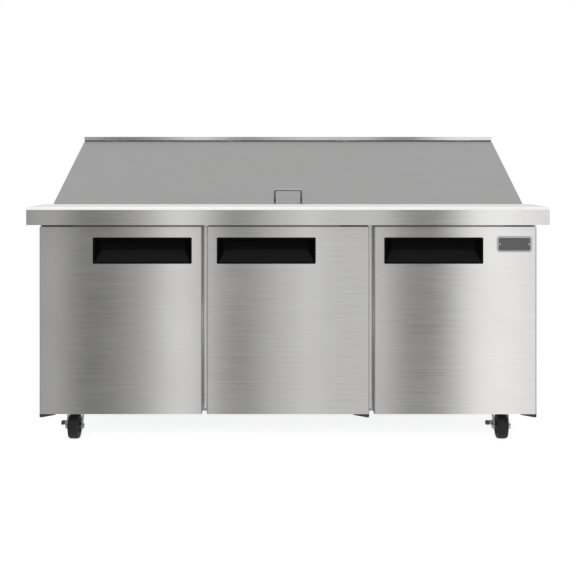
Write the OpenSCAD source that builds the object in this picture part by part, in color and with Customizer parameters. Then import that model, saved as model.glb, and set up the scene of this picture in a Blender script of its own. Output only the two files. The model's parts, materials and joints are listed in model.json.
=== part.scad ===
// Three-door sandwich prep refrigerator: cabinet, hinged doors, sloping lid over food pans,
// cutting board on a counter shelf, swivel casters. X is across, -Y is the front, Z is up.

/* [Overall] */
// Width across the counter shelf
overall_w = 1840; // [1835:1:1860]
// Depth from the counter shelf's apron to the back panel
overall_d = 865; // [865:1:870]
// Height to the top of the hood cap
overall_h = 1116; // [1112:1:1130]
// Width of the cabinet
cabinet_w = 1774; // [1774:1:1776]
// Depth of the cabinet behind the doors
cabinet_d = 755; // [755:1:757]
// Thickness of outer panels
panel_t = 2; // [1.5:0.1:2]

/* [Heights] */
// Underside of the base pan
base_z = 112; // [112:0.5:113]
// Top of the pan deck
deck_z = 822; // [822:0.5:823]
// Underside of the counter shelf's top sheet
shelf_z = 834; // [833:0.5:835]
// Bottom edge of the apron
apron_z = 785; // [784:0.5:787]
// Thickness of the cutting board
board_t = 10; // [8:0.5:12]

/* [Doors] */
// Width of each door
door_w = 580; // [576:1:581]
// Distance from one door's centre to the next
door_pitch = 597; // [596:0.5:597]
// Thickness of a door without its seal
door_t = 50; // [48:1:52]
// Bottom edge of the doors
door_z0 = 108; // [108:0.5:110]
// Top edge of the doors
door_z1 = 776; // [772:1:776]
// Radius of a door's front vertical edges
door_r = 5; // [2:0.5:8]
// Thickness of the door seal
gasket_t = 9; // [8:0.5:9.5]
// Distance of the hinge axis from the door's edge and front
hinge_in = 20; // [19:1:21]
// Radius of the door hinge pins
hinge_pin_r = 5; // [4:0.5:6]

/* [Door handles] */
// Width of the recessed handle
pull_w = 353; // [300:1:360]
// Height of the recessed handle
pull_h = 94; // [80:1:100]
// Distance from the handle to the door's free edge
pull_side = 36; // [34:1:60]
// Distance from the handle to the door's top edge
pull_top = 38; // [34:1:60]
// Depth of the finger pocket
pull_d = 28; // [22:1:32]

/* [Lid] */
// Height of the lid's top surface at its front edge
lid_front_z = 849; // [848:0.5:850]
// Height of the lid's top surface at its rear edge
lid_rear_z = 1094.5; // [1080:0.5:1096]
// Thickness of the lid panel
lid_t = 22; // [18:1:22]
// Thickness of the lid's side cheeks
cheek_t = 20; // [16:1:22]
// Height of the lid handle above the lid
lid_pull_h = 52; // [40:1:60]

/* [Food pans] */
// Distance between neighbouring pan sections
section_pitch = 331; // [331:0.5:331.5]
// Distance between neighbouring pan rows
row_pitch = 176.5; // [176.5:0.1:176.6]
// Depth of the food pans
pan_depth = 100; // [65:5:100]

/* [Casters] */
// Radius of a caster wheel
wheel_r = 45; // [44:0.5:45]
// Width of a caster wheel
wheel_w = 37; // [30:1:38]
// Distance of the wheel axle from the swivel axis
caster_trail = 25; // [20:1:30]
// Distance of the casters from the middle of the cabinet
caster_x = 777; // [772:1:778]

/* [Hidden] */
$fn = 48;

// Places worked out from the sizes above
front_y = -overall_d / 2;
back_y = overall_d / 2;
face_y = back_y - cabinet_d;
door_back_y = face_y - 10;
door_front_y = door_back_y - door_t;
frame_t = 25;
liner_y = face_y + frame_t;
half_w = cabinet_w / 2;
panel_x = half_w - panel_t;
deck_t = 2;
under_deck_z = deck_z - deck_t;
base_top_z = base_z + 2;
seam = 0.3;
board_z = shelf_z + 4.5;
shelf_back_y = front_y + 246;
// Food compartment
cavity_x = 837;
cavity_floor_z = 160;
cavity_head_z = 745;
machine_y = 150;
ledge_z = 420;
cavity_back_y = 380;
throat_y = -152;
liner_t = 1.5;
// Machine compartment
machine_top_z = 380;
machine_wall_y = 190;
// Pans
pan_rim_t = 2;
rim_w = section_pitch - 7;
rim_d = row_pitch - 1;
third_w = rim_w - 18;
sixth_w = rim_w / 2 - 19;
tub_d = rim_d - 17.5;
row_y0 = -63.75;
opening_x = 821;
opening_y0 = -148;
opening_y1 = 374;
bar_w = 12;
// Lid
lid_y0 = -172;
lid_y1 = 384;
lid_floor_z = 823.5;
lid_k = (lid_rear_z - lid_front_z) / (lid_y1 - lid_y0);
lid_angle = atan(lid_k);
lid_drop = lid_t / cos(lid_angle);
skin_t = 1.5;
lid_hinge_y = 387.6;
lid_hinge_z = 1098;
lid_hinge_xs = [-750, -250, 250, 750];
lid_knuckle_r = 3.2;
lid_pin_r = 2;
hood_y = 392;
// Doors
hinge_y = door_front_y + hinge_in;
hinge_off = door_w / 2 - hinge_in;
sheet_t = 1.2;
pull_x = door_w / 2 - pull_side - pull_w / 2;
pull_z = door_z1 - pull_top - pull_h / 2;
bush_r = 9;
// Casters
swivel_front_y = -277.5;
swivel_rear_y = 330;
plate_z = base_z - 3.5;
king_r = 6;
axle_r = 5;
leg_x = wheel_w / 2 + 7;
leg_t = 3;
fork_z = 94;
brake_z = 52;
brake_x = 7;
hub_out = 6;

// Box between two corners
module span(x0, x1, y0, y1, z0, z1) {
    translate([x0, y0, z0]) cube([x1 - x0, y1 - y0, z1 - z0]);
}

// Outline in the YZ plane carried across from x0 to x1
module across(x0, x1, points) {
    translate([x0, 0, 0]) rotate([90, 0, 90]) linear_extrude(x1 - x0) polygon(points);
}

// Copies of the children on both sides
module both_sides() {
    children();
    mirror([1, 0, 0]) children();
}

// ---------------------------------------------------------------- cabinet

module base_pan() color("silver") {
    span(-panel_x, panel_x, face_y, back_y - panel_t, base_z, base_top_z);
    for (y = [swivel_front_y + 12, swivel_rear_y]) {
        span(-650, 650, y - 30, y + 30, base_z - 14, base_z - 12);
        for (side = [-30, 28]) span(-650, 650, y + side, y + side + 2, base_z - 14, base_z + 1);
    }
}

module side_panels() color("silver") {
    both_sides() across(panel_x, half_w, [[face_y, base_z], [back_y - panel_t, base_z],
        [back_y - panel_t, under_deck_z], [shelf_back_y - 2, under_deck_z],
        [shelf_back_y - 2, shelf_z], [face_y, shelf_z]]);
}

module back_panel() color("silver") {
    span(-half_w, half_w, back_y - panel_t, back_y, machine_top_z - 2, under_deck_z);
}

module rear_grille() color("silver") difference() {
    span(-half_w, half_w, back_y - panel_t, back_y, base_z, machine_top_z - 2);
    for (bank = [-480, -160, 160, 480]) for (row = [0:9]) {
        translate([bank - 110, back_y - panel_t - 1, base_z + 50 + row * 20])
            cube([220, panel_t + 2, 8]);
    }
    translate([-790, back_y + 1, 160]) rotate([90, 0, 0]) cylinder(r = 12.2, h = panel_t + 2);
}

// Liner outline, grown outwards by t; open is how far it runs past the two open faces
function liner_outline(t, open) = [
    [liner_y - open, cavity_floor_z - t], [machine_y + t, cavity_floor_z - t],
    [machine_y + t, ledge_z - t], [cavity_back_y + t, ledge_z - t],
    [cavity_back_y + t, under_deck_z + open], [throat_y - t, under_deck_z + open],
    [throat_y - t, cavity_head_z + t], [liner_y - open, cavity_head_z + t]];

module inner_liner() color("gainsboro") difference() {
    across(-cavity_x - liner_t, cavity_x + liner_t, liner_outline(liner_t, 0));
    across(-cavity_x, cavity_x, liner_outline(0, 5));
}

module foam_panels() color("khaki") {
    wall_x = cavity_x + liner_t + seam;
    out_x = panel_x - seam;
    foam_back_y = back_y - panel_t - seam;
    foam_top_z = under_deck_z - seam;
    floor_z = base_top_z + seam;
    front = liner_y + seam;
    span(-cavity_x, cavity_x, front, machine_y, floor_z, cavity_floor_z - liner_t - seam);
    span(-cavity_x, cavity_x, machine_y + liner_t + seam, machine_wall_y,
        floor_z, machine_top_z - seam);
    span(-cavity_x, cavity_x, machine_y + liner_t + seam, foam_back_y,
        machine_top_z, ledge_z - liner_t - seam);
    span(-cavity_x, cavity_x, cavity_back_y + liner_t + seam, foam_back_y,
        ledge_z - liner_t, foam_top_z);
    span(-cavity_x, cavity_x, front, throat_y - liner_t - seam,
        cavity_head_z + liner_t + seam, foam_top_z);
    both_sides() {
        span(wall_x, out_x, front, machine_wall_y, floor_z, foam_top_z);
        span(wall_x, out_x, machine_wall_y + seam, foam_back_y, machine_top_z, foam_top_z);
    }
}

module front_frame() color("dimgray") {
    rail_z = cavity_floor_z;
    header_z = 740;
    span(-panel_x, panel_x, face_y, liner_y, base_top_z, rail_z);
    span(-panel_x, panel_x, face_y, liner_y, header_z, shelf_z);
    both_sides() {
        span(cavity_x, panel_x, face_y, liner_y, rail_z + seam, header_z - seam);
        span(door_pitch / 2 - 35.5, door_pitch / 2 + 35.5, face_y, liner_y,
            rail_z + seam, header_z - seam);
    }
}

// ---------------------------------------------------------------- counter

module counter_shelf() color("lightgray") {
    lip = 12;
    top_t = board_z - shelf_z;
    across(-overall_w / 2, overall_w / 2, [[front_y, apron_z], [front_y + lip, apron_z],
        [front_y + lip, apron_z + 2], [front_y + 2, apron_z + 2], [front_y + 2, shelf_z],
        [shelf_back_y - 2, shelf_z], [shelf_back_y - 2, deck_z], [shelf_back_y, deck_z],
        [shelf_back_y, board_z], [front_y, board_z]]);
    both_sides() {
        span(overall_w / 2 - 2, overall_w / 2, front_y, shelf_back_y, apron_z, board_z);
        span(overall_w / 2 - lip, overall_w / 2, front_y, shelf_back_y, apron_z, apron_z + 2);
        translate([860, shelf_back_y - 30, board_z - top_t]) cylinder(r = 5, h = top_t + 5);
    }
}

module cutting_board() color("white") {
    inset = 1;
    edge = 1.5;
    top_z = board_z + board_t;
    y0 = front_y + inset;
    y1 = shelf_back_y - inset;
    difference() {
        across(-overall_w / 2 + inset, overall_w / 2 - inset, [[y0, board_z], [y1, board_z],
            [y1, top_z - edge], [y1 - edge, top_z], [y0 + edge, top_z], [y0, top_z - edge]]);
        both_sides() translate([860, shelf_back_y - 30, board_z - 1]) cylinder(r = 5.5, h = 7);
    }
}

module top_deck() color("lightgray") difference() {
    span(-half_w, half_w, shelf_back_y, hood_y, under_deck_z, deck_z);
    span(-opening_x, opening_x, opening_y0, opening_y1, under_deck_z - 1, deck_z + 1);
}

module adapter_bars() color("silver") {
    z0 = deck_z - 6;
    for (i = [-1.5:1:1.5]) {
        x = i * section_pitch;
        span(x - bar_w / 2, x + bar_w / 2, opening_y0, opening_y1, z0, deck_z);
    }
    for (i = [-2:2]) for (j = [0.5, 1.5]) {
        x = i * section_pitch;
        y = row_y0 + j * row_pitch;
        x0 = i == -2 ? -opening_x : x - section_pitch / 2 + bar_w / 2 + seam;
        x1 = i == 2 ? opening_x : x + section_pitch / 2 - bar_w / 2 - seam;
        span(x0, x1, y - bar_w / 2, y + bar_w / 2, z0, deck_z);
    }
}

// One food pan with its rim resting on the deck
module food_pan(x, y, rim, tub) {
    wall = 1;
    difference() {
        union() {
            span(x - rim / 2, x + rim / 2, y - rim_d / 2, y + rim_d / 2,
                deck_z, deck_z + pan_rim_t);
            span(x - tub / 2, x + tub / 2, y - tub_d / 2, y + tub_d / 2,
                deck_z + pan_rim_t - pan_depth, deck_z + pan_rim_t);
        }
        span(x - tub / 2 + wall, x + tub / 2 - wall, y - tub_d / 2 + wall, y + tub_d / 2 - wall,
            deck_z + pan_rim_t - pan_depth + wall, deck_z + pan_rim_t + 1);
    }
}

module food_pans_sixth() color("silver") {
    for (i = [-2:2]) for (side = [-1, 1]) {
        food_pan(i * section_pitch + side * 81.5, row_y0, rim_w / 2 - 1, sixth_w);
    }
}

module food_pans_third() color("silver") {
    for (i = [-2:2]) for (row = [1, 2]) {
        food_pan(i * section_pitch, row_y0 + row * row_pitch, rim_w, third_w);
    }
}

// ---------------------------------------------------------------- hood and lid

module rear_hood() color("silver") difference() {
    span(-half_w, half_w, hood_y, back_y, under_deck_z, lid_hinge_z + 3.5);
    span(-panel_x, panel_x, hood_y + panel_t, back_y - panel_t,
        under_deck_z - 1, lid_hinge_z + 1.5);
}

module hood_cap() color("gainsboro") difference() {
    span(-half_w - 1, half_w + 1, hood_y - 2, back_y, lid_hinge_z + 3.5, overall_h);
    span(-half_w + 1, half_w - 1, hood_y, back_y - 2, lid_hinge_z + 2.5, overall_h - 2);
}

// Hinge knuckle along X, centred on x
module lid_knuckle(x, length, bore) {
    translate([x - length / 2, lid_hinge_y, lid_hinge_z]) rotate([0, 90, 0]) difference() {
        cylinder(r = lid_knuckle_r, h = length);
        if (bore > 0) translate([0, 0, -1]) cylinder(r = bore, h = length + 2);
    }
}

module lid_hinge_fixed() color("dimgray") {
    for (x = lid_hinge_xs) {
        for (side = [-30, 30]) {
            lid_knuckle(x + side, 28, 0);
            span(x + side - 14, x + side + 14, lid_hinge_y, hood_y,
                lid_hinge_z - 3, lid_hinge_z + 1);
        }
        span(x - 44, x + 44, hood_y - 0.8, hood_y, lid_hinge_z - 30, lid_hinge_z + 1);
        translate([x - 40, lid_hinge_y, lid_hinge_z]) rotate([0, 90, 0])
            cylinder(r = lid_pin_r, h = 80);
    }
}

module lid_hinge_leaf() color("dimgray") {
    for (x = lid_hinge_xs) {
        difference() {
            union() {
                lid_knuckle(x, 30, 0);
                span(x - 15, x + 15, lid_y1, lid_hinge_y, lid_hinge_z - 5, lid_hinge_z - 1);
                span(x - 15, x + 15, lid_y1, lid_y1 + 1, lid_hinge_z - 24, lid_hinge_z - 1);
            }
            translate([x - 16, lid_hinge_y, lid_hinge_z]) rotate([0, 90, 0])
                cylinder(r = lid_pin_r + 0.1, h = 32);
        }
    }
}

// Height of the lid's top surface at y, lowered by a depth measured square to the surface
function lid_z(y, depth) = lid_front_z + (y - lid_y0) * lid_k - depth / cos(lid_angle);

module lid_skin() color("silver") {
    across(-half_w, half_w, [[lid_y0, lid_floor_z], [lid_y0, lid_z(lid_y0, 0)],
        [lid_y1, lid_z(lid_y1, 0)], [lid_y1, lid_z(lid_y1, lid_t)],
        [lid_y1 - skin_t, lid_z(lid_y1 - skin_t, lid_t)],
        [lid_y1 - skin_t, lid_z(lid_y1 - skin_t, skin_t)],
        [lid_y0 + skin_t, lid_z(lid_y0 + skin_t, skin_t)], [lid_y0 + skin_t, lid_floor_z]]);
    both_sides() across(half_w - skin_t, half_w, [[lid_y0, lid_floor_z],
        [lid_y0, lid_z(lid_y0, 0)], [lid_y1, lid_z(lid_y1, 0)], [lid_y1, lid_floor_z]]);
}

module lid_core() color("khaki") {
    y0 = lid_y0 + skin_t;
    y1 = lid_y1 - skin_t;
    across(-half_w + skin_t, half_w - skin_t, [[y0, lid_z(y0, skin_t)],
        [y1, lid_z(y1, skin_t)], [y1, lid_z(y1, lid_t)], [y0, lid_z(y0, lid_t)]]);
    both_sides() across(half_w - cheek_t + skin_t, half_w - skin_t, [
        [y0, lid_floor_z + 1], [y0, lid_z(y0, lid_t + seam)],
        [y1, lid_z(y1, lid_t + seam)], [y1, lid_floor_z + 1]]);
}

module lid_liner() color("gainsboro") {
    y0 = lid_y0 + skin_t;
    inner_x = half_w - cheek_t;
    across(-inner_x, inner_x, [[y0, lid_z(y0, lid_t)], [lid_y1, lid_z(lid_y1, lid_t)],
        [lid_y1, lid_z(lid_y1, lid_t + 1)], [y0, lid_z(y0, lid_t + 1)]]);
    both_sides() {
        across(inner_x, inner_x + skin_t, [[y0, lid_floor_z], [y0, lid_z(y0, lid_t)],
            [lid_y1, lid_z(lid_y1, lid_t)], [lid_y1, lid_floor_z]]);
        // Flanges that close the cheek underneath and at the rear
        span(inner_x, half_w - skin_t, y0, lid_y1, lid_floor_z, lid_floor_z + 0.8);
        across(inner_x, half_w - skin_t, [[lid_y1 - 1, lid_floor_z],
            [lid_y1 - 1, lid_z(lid_y1 - 1, lid_t)], [lid_y1, lid_z(lid_y1, lid_t)],
            [lid_y1, lid_floor_z]]);
    }
}

module lid_handle() color("silver") {
    half = 50;
    rod = 4;
    bend = 8;
    leg = lid_pull_h - bend;
    translate([0, lid_y0 + 11, lid_z(lid_y0 + 11, 0)]) rotate([lid_angle, 0, 0]) {
        both_sides() {
            translate([half, 0, 0]) cylinder(r = rod, h = leg);
            translate([half, 0, 0]) cylinder(r = 8, h = 2);
            translate([half - bend, 0, leg]) rotate([90, 0, 0])
                rotate_extrude(angle = 90) translate([bend, 0]) circle(rod);
        }
        translate([bend - half, 0, lid_pull_h]) rotate([0, 90, 0])
            cylinder(r = rod, h = 2 * (half - bend));
    }
}

// ---------------------------------------------------------------- doors

// Door outline seen from above, with its front corners rounded
module door_outline(inset) {
    r = door_r - inset;
    y0 = door_front_y + inset;
    x = door_w / 2 - inset;
    translate([-x, y0 + r]) square([2 * x, door_back_y - y0 - r]);
    translate([-x + r, y0]) square([2 * (x - r), r + 1]);
    for (side = [-1, 1]) translate([side * (x - r), y0 + r]) circle(r);
}

// Upright cylinder on the hinge axis of a door whose hinge is on the right
module on_hinge(z0, z1, r) {
    translate([hinge_off, hinge_y, z0]) cylinder(r = r, h = z1 - z0);
}

// Finger pocket, grown by t: upright at the top, sloping out towards the bottom
module pull_pocket(t, front) {
    inner_w = pull_w - 18;
    z0 = pull_z - pull_h / 2 + 10;
    z1 = pull_z + pull_h / 2 - 10;
    y1 = door_front_y + pull_d;
    across(-pull_x - inner_w / 2 - t, -pull_x + inner_w / 2 + t,
        [[front, z0 - t], [door_front_y + 4, z0 - t], [y1 + t, z0 + 38],
        [y1 + t, z1 + t], [front, z1 + t]]);
}

module door_skin() color("lightgray") difference() {
    translate([0, 0, door_z0]) linear_extrude(door_z1 - door_z0) door_outline(0);
    translate([0, 0, door_z0 + sheet_t]) linear_extrude(door_z1 - door_z0 - 2 * sheet_t)
        difference() {
            door_outline(sheet_t);
            translate([-door_w, door_back_y - 0.01]) square([2 * door_w, 1]);
        }
    span(-door_w / 2 + sheet_t, door_w / 2 - sheet_t, door_back_y - 5, door_back_y + 1,
        door_z0 + sheet_t, door_z1 - sheet_t);
    pull_pocket(2.2, door_front_y - 1);
    on_hinge(door_z0 - 1, door_z0 + 3, 6.5);
    on_hinge(door_z1 - 3, door_z1 + 1, 6.5);
}

module door_core() color("khaki") {
    gap = sheet_t + 0.2;
    x = door_w / 2 - gap;
    bush_z = [[door_z0 + gap, door_z0 + 22], [door_z1 - 22, door_z1 - gap]];
    difference() {
        translate([0, 0, door_z0 + gap]) linear_extrude(door_z1 - door_z0 - 2 * gap)
            difference() {
                door_outline(gap);
                translate([-x, door_back_y - 1.8]) square([2 * x, 5]);
            }
        pull_pocket(2, door_front_y - 1);
        for (z = bush_z) on_hinge(z[0] - 5, z[1] + 5, bush_r + 0.1);
    }
    for (z = bush_z) difference() {
        on_hinge(z[0], z[1], bush_r);
        on_hinge(z[0] - 1, z[1] + 1, hinge_pin_r + 0.1);
    }
}

module door_liner() color("gainsboro") {
    x = door_w / 2 - sheet_t - 0.2;
    z0 = door_z0 + sheet_t + 0.2;
    z1 = door_z1 - sheet_t - 0.2;
    rise = 14;
    in = 62;
    span(-x, x, door_back_y - 1.6, door_back_y, z0, z1);
    span(-x + in, x - in, door_back_y - 0.5, door_back_y + rise, z0 + in, z1 - in);
}

module door_gasket() color("dimgray") {
    inset = 13;
    width = 13;
    x = door_w / 2 - inset;
    difference() {
        span(-x, x, door_back_y, door_back_y + gasket_t, door_z0 + inset, door_z1 - inset);
        span(-x + width, x - width, door_back_y - 1, door_back_y + gasket_t + 1,
            door_z0 + inset + width, door_z1 - inset - width);
        span(-x + 4, x - 4, door_back_y + 3, door_back_y + 6,
            door_z0 + inset + 4, door_z1 - inset - 4);
    }
}

module door_handle() color("black") difference() {
    union() {
        pull_pocket(1.8, door_front_y);
        translate([-pull_x - pull_w / 2, door_front_y - 1.5, pull_z - pull_h / 2])
            cube([pull_w, 1.5, pull_h]);
    }
    pull_pocket(0, door_front_y - 5);
}

// Places a door part made for a right-hand hinge; the left door is its mirror image
module place_door(index) {
    translate([index * door_pitch, 0, 0]) mirror([index < 0 ? 1 : 0, 0, 0]) children();
}

module name_plate() color("silver") {
    size = [125, 57];
    r = 10;
    translate([807, door_front_y, 714]) rotate([90, 0, 0]) {
        linear_extrude(1.2) {
            square([size[0] - 2 * r, size[1]], center = true);
            square([size[0], size[1] - 2 * r], center = true);
            for (i = [-1, 1]) for (j = [-1, 1]) {
                translate([i * (size[0] / 2 - r), j * (size[1] / 2 - r)]) circle(r);
            }
        }
        for (side = [-1, 1]) translate([side * 52, 0, 1]) cylinder(r = 3, h = 0.8);
    }
}

module door_hinge_brackets() color("black") {
    arm = 56;
    for (index = [-1:1]) place_door(index) {
        edge = door_w / 2;
        // Lower bracket: a wedge that is deepest near the pin
        translate([0, -300, 0]) rotate([90, 0, 0]) linear_extrude(78)
            polygon([[edge - arm, 104], [edge - 10, 95.5], [edge - 6, 94.8],
                [edge - 2, 95.6], [edge, 98], [edge, 106], [edge - arm, 106]]);
        span(edge - arm, edge - 4, face_y, -300, 103, base_z);
        on_hinge(104, 125, hinge_pin_r);
        // Upper plate with its flange on the frame
        span(edge - 100, edge - 4, hinge_y - 14, face_y, 778.5, 781.5);
        span(edge - 100, edge - 4, face_y - 3, face_y, 778.5, 812);
        on_hinge(757, 781.5, hinge_pin_r);
    }
}

// ---------------------------------------------------------------- inside

module wire_shelves() color("white") {
    z = 400;
    half = 268;
    y0 = -284;
    y1 = 138;
    for (i = [-1:1]) translate([i * 560, 0, z]) {
        for (y = [y0, (y0 + y1) / 2, y1]) translate([-half, y, 0]) rotate([0, 90, 0])
            cylinder(r = 3, h = 2 * half);
        for (k = [0:16]) translate([-half + 6 + k * (2 * half - 12) / 16, y0 - 2, 4.5])
            rotate([-90, 0, 0]) cylinder(r = 2, h = y1 - y0 + 4);
    }
}

module shelf_standards() color("silver") {
    top_z = 715;
    for (x = [-280, 280]) for (y = [-290, 144]) {
        span(x - 6, x + 6, y - 2, y + 2, cavity_floor_z, top_z);
    }
    both_sides() for (y = [-290, 144]) {
        span(cavity_x - 4, cavity_x, y - 6, y + 6, cavity_floor_z + 2, top_z);
    }
    // Clips that the shelf ends rest on
    for (x = [-280, 280]) for (y = [-284, 138]) span(x - 24, x + 24, y - 4, y + 4, 394, 396.9);
    both_sides() for (y = [-284, 138]) span(818, 832.8, y - 4, y + 4, 394, 396.9);
}

module compressor() color("black") {
    translate([-520, 310, base_top_z]) {
        for (x = [-80, 80]) for (y = [-60, 60]) translate([x, y, 0]) cylinder(r = 14, h = 16);
        translate([-105, -80, 16.3]) cube([210, 160, 4]);
        translate([0, 0, 20.5]) rotate_extrude() polygon([[0, 0], [78, 0], [84, 10], [84, 96],
            [76, 118], [56, 134], [28, 142], [0, 144]]);
        translate([86, -24, 60]) cube([34, 48, 56]);
    }
}

// Fan with its shaft along Y; blades are pitched plates
module fan(x, y, z, r) {
    translate([x, y, z]) rotate([90, 0, 0]) {
        translate([0, 0, -14]) cylinder(r = 20, h = 24);
        translate([0, 0, -34]) cylinder(r = 3, h = 22);
        for (k = [0:4]) rotate([0, 0, k * 72]) translate([15, 0, 0]) rotate([28, 0, 0])
            translate([0, -22, -1]) cube([r - 15, 44, 2]);
    }
}

// Fan shroud, motor and struts; y is the fan's middle
module fan_mount(x, y, z, half, r) {
    difference() {
        span(x - half, x + half, y - 18, y + 18, z - half, z + half);
        translate([x, y + 19, z]) rotate([90, 0, 0]) cylinder(r = r, h = 38);
    }
    translate([x, y, z]) rotate([90, 0, 0]) {
        difference() {
            translate([0, 0, -62]) cylinder(r = 28, h = 44);
            translate([0, 0, -63]) cylinder(r = 3.05, h = 46);
        }
        for (k = [45:90:359]) rotate([0, 0, k]) translate([24, -4, -24])
            cube([r + 4 - 24, 8, 6]);
    }
}

module condenser() color("dimgray") {
    fan_mount(260, 240, 245, 110, 92);
    difference() {
        span(100, 420, 320, 400, 120, 370);
        for (k = [0:14]) span(110 + k * 20, 120 + k * 20, 319, 336, 130, 360);
        for (k = [0:14]) span(110 + k * 20, 120 + k * 20, 384, 401, 130, 360);
    }
}

module condenser_fan() color("darkgray") fan(260, 240, 245, 84);

module evaporator() color("gainsboro") {
    fan_mount(0, 250, 560, 105, 92);
    difference() {
        span(-400, 400, 318, 374, 440, 680);
        for (k = [0:30]) span(-390 + k * 25, -378 + k * 25, 317, 330, 450, 670);
    }
    span(-400, 400, 318, 372, 424, 436);
}

module evaporator_fan() color("darkgray") fan(0, 250, 560, 84);

module condensate_pan() color("silver") difference() {
    span(520, 840, 215, 415, base_top_z, 150);
    span(522, 838, 217, 413, base_top_z + 2, 151);
}

module controller() color("dimgray") {
    span(-850, -720, 300, 400, 150, 330);
    span(-848, -722, 400.3, 404, 190, 328);
    for (x = [-815, -755]) translate([x, 403.5, 260]) rotate([-90, 0, 0])
        cylinder(r = 14, h = 16);
}

module cord_gland() color("black") difference() {
    translate([-790, 0, 160]) rotate([-90, 0, 0]) {
        translate([0, 0, back_y - panel_t - 10]) cylinder(r = 17, h = 10);
        translate([0, 0, back_y - panel_t - 1]) cylinder(r = 12, h = panel_t + 1);
    }
    translate([-790, back_y - 20, 160]) rotate([-90, 0, 0]) cylinder(r = 8, h = 30);
}

// ---------------------------------------------------------------- casters

module caster_plates() color("silver") {
    for (x = [-caster_x, caster_x]) for (y = [swivel_front_y, swivel_rear_y]) {
        translate([x - 47.5, y - 35, plate_z]) cube([95, 70, base_z - plate_z]);
        translate([x, y, fork_z - 2]) cylinder(r = king_r, h = plate_z - fork_z + 3);
        translate([x, y, plate_z - 4]) difference() {
            cylinder(r = 27, h = 4.5);
            translate([0, 0, -1]) cylinder(r = 22, h = 5);
        }
    }
}

module screws() color("silver") {
    for (x = [-caster_x, caster_x]) for (y = [swivel_front_y, swivel_rear_y]) {
        for (i = [-1, 1]) for (j = [-1, 1]) {
            translate([x + i * 39, y + j * 26, plate_z - 5]) cylinder(r = 6, h = 5, $fn = 6);
        }
    }
    for (index = [-1:1]) place_door(index) for (x = [-18, -84]) {
        translate([door_w / 2 + x, face_y - 3, 800]) rotate([90, 0, 0])
            cylinder(r1 = 5.5, r2 = 4, h = 2);
    }
}

// Fork around the swivel axis, with the wheel trailing towards -Y
module fork() color("silver") {
    difference() {
        union() {
            translate([0, 0, fork_z]) cylinder(r = leg_x + leg_t, h = 3);
            translate([0, 0, fork_z]) cylinder(r = 20, h = 13.5);
        }
        translate([0, 0, fork_z - 1]) cylinder(r = king_r + 0.1, h = 20);
    }
    both_sides() difference() {
        union() {
            across(leg_x, leg_x + leg_t, [[-14, fork_z + 0.5], [9, fork_z + 0.5],
                [-caster_trail + 12, wheel_r], [-caster_trail - 12, wheel_r]]);
            translate([leg_x, -caster_trail, wheel_r]) rotate([0, 90, 0])
                cylinder(r = 12, h = leg_t);
        }
        translate([leg_x - 1, -caster_trail, wheel_r]) rotate([0, 90, 0])
            cylinder(r = axle_r + 0.05, h = leg_t + 2);
    }
    translate([-leg_x - leg_t - 1, -caster_trail, wheel_r]) rotate([0, 90, 0])
        cylinder(r = axle_r, h = 2 * (leg_x + leg_t + 1));
    both_sides() translate([leg_x + leg_t + 0.05, -caster_trail, wheel_r]) rotate([0, 90, 0])
        cylinder(r = 9, h = 5, $fn = 6);
}

// Ears and pivot pin that carry the brake lever, on the fork's left side
module brake_ears() color("silver") {
    x = -leg_x - leg_t;
    translate([x - 2.4, -16, brake_z - 7]) cube([2.6, 20, 14]);
    for (y = [-15, 1]) translate([x - 10, y, brake_z - 6]) cube([10.2, 3, 12]);
    translate([x - brake_x, -15, brake_z]) rotate([-90, 0, 0]) cylinder(r = 2, h = 19);
}

module caster_wheel() {
    h = wheel_w / 2;
    shoulder = 5;
    rotate([0, 90, 0]) {
        color("dimgray") rotate_extrude() polygon([[30, -h], [wheel_r - shoulder, -h],
            [wheel_r - 1.5, -h + 3], [wheel_r, -h + 8], [wheel_r, h - 8],
            [wheel_r - 1.5, h - 3], [wheel_r - shoulder, h], [30, h]]);
        color("black") rotate_extrude() polygon([[axle_r + 0.1, -h - hub_out],
            [9, -h - hub_out], [12, -h], [14, -h + 5], [26, -h + 5], [26, -h + 1],
            [29.9, -h + 1], [29.9, h - 1], [26, h - 1], [26, h - 5], [14, h - 5], [12, h],
            [9, h + hub_out], [axle_r + 0.1, h + hub_out]]);
    }
}

module caster_brake() color("black") {
    x = -leg_x - leg_t - brake_x;
    difference() {
        union() {
            translate([x, -11.5, brake_z]) rotate([-90, 0, 0]) cylinder(r = 4, h = 12);
            translate([x - 6, -11.5, brake_z - 4]) cube([6, 12, 8]);
            translate([x - 17, -15, brake_z - 6]) cube([12, 19, 12]);
        }
        translate([x, -20, brake_z]) rotate([-90, 0, 0]) cylinder(r = 2.05, h = 30);
    }
}

// Places a caster part; rear casters trail backwards
module place_caster(side, rear) {
    translate([side * caster_x, rear ? swivel_rear_y : swivel_front_y, 0])
        mirror([0, rear ? 1 : 0, 0]) children();
}

module front_fork() {
    fork();
    brake_ears();
}

module wheel_at_trail() {
    translate([0, -caster_trail, wheel_r]) caster_wheel();
}

base_pan();
side_panels();
back_panel();
rear_grille();
inner_liner();
foam_panels();
front_frame();
counter_shelf();
cutting_board();
top_deck();
adapter_bars();
food_pans_sixth();
food_pans_third();
rear_hood();
hood_cap();
lid_hinge_fixed();
lid_hinge_leaf();
lid_skin();
lid_core();
lid_liner();
lid_handle();
door_hinge_brackets();
place_door(-1) door_skin();  // door_skin_left
place_door(0) door_skin();  // door_skin_middle
place_door(1) door_skin();  // door_skin_right
place_door(-1) door_liner();  // door_liner_left
place_door(0) door_liner();  // door_liner_middle
place_door(1) door_liner();  // door_liner_right
place_door(-1) door_core();  // door_core_left
place_door(0) door_core();  // door_core_middle
place_door(1) door_core();  // door_core_right
place_door(-1) door_gasket();  // door_gasket_left
place_door(0) door_gasket();  // door_gasket_middle
place_door(1) door_gasket();  // door_gasket_right
place_door(-1) door_handle();  // door_handle_left
place_door(0) door_handle();  // door_handle_middle
place_door(1) door_handle();  // door_handle_right
name_plate();
wire_shelves();
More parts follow.
